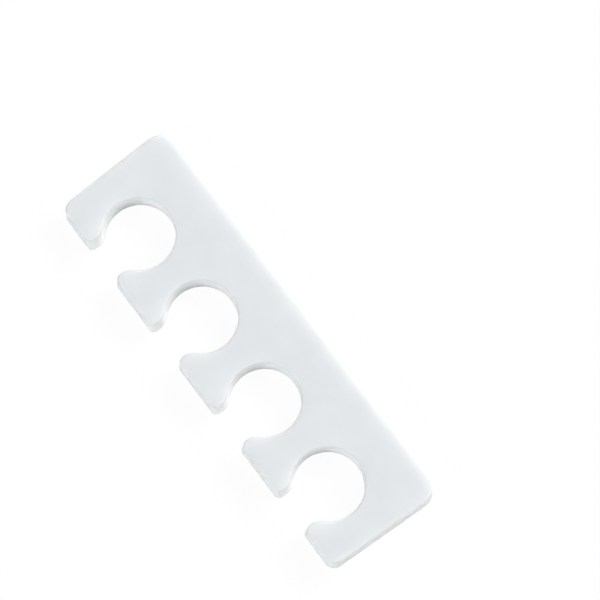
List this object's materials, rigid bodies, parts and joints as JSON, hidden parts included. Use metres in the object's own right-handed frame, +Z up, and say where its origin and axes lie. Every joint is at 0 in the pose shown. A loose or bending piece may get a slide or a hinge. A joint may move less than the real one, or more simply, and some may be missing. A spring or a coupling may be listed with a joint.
{
  "type": "toe separator",
  "caption": "Soft foam comb that holds the toes apart while nails are painted: a straight spine with round keyhole slots between blunt posts.",
  "frame": {"origin": "under the middle of the slab, on the flat underside, at the centre of the overall outline", "axes": "+X along the straight back edge, +Y from the posts' fronts to the back edge, +Z up out of the table"},
  "size_m": [0.0998, 0.0286, 0.008],
  "materials": {
    "white_foam": "matt white closed-cell foam, fine-skinned on top, die-cut at the edges"
  },
  "bodies": {
    "root": {"toe_separator": "white_foam"}
  },
  "joints": []
}
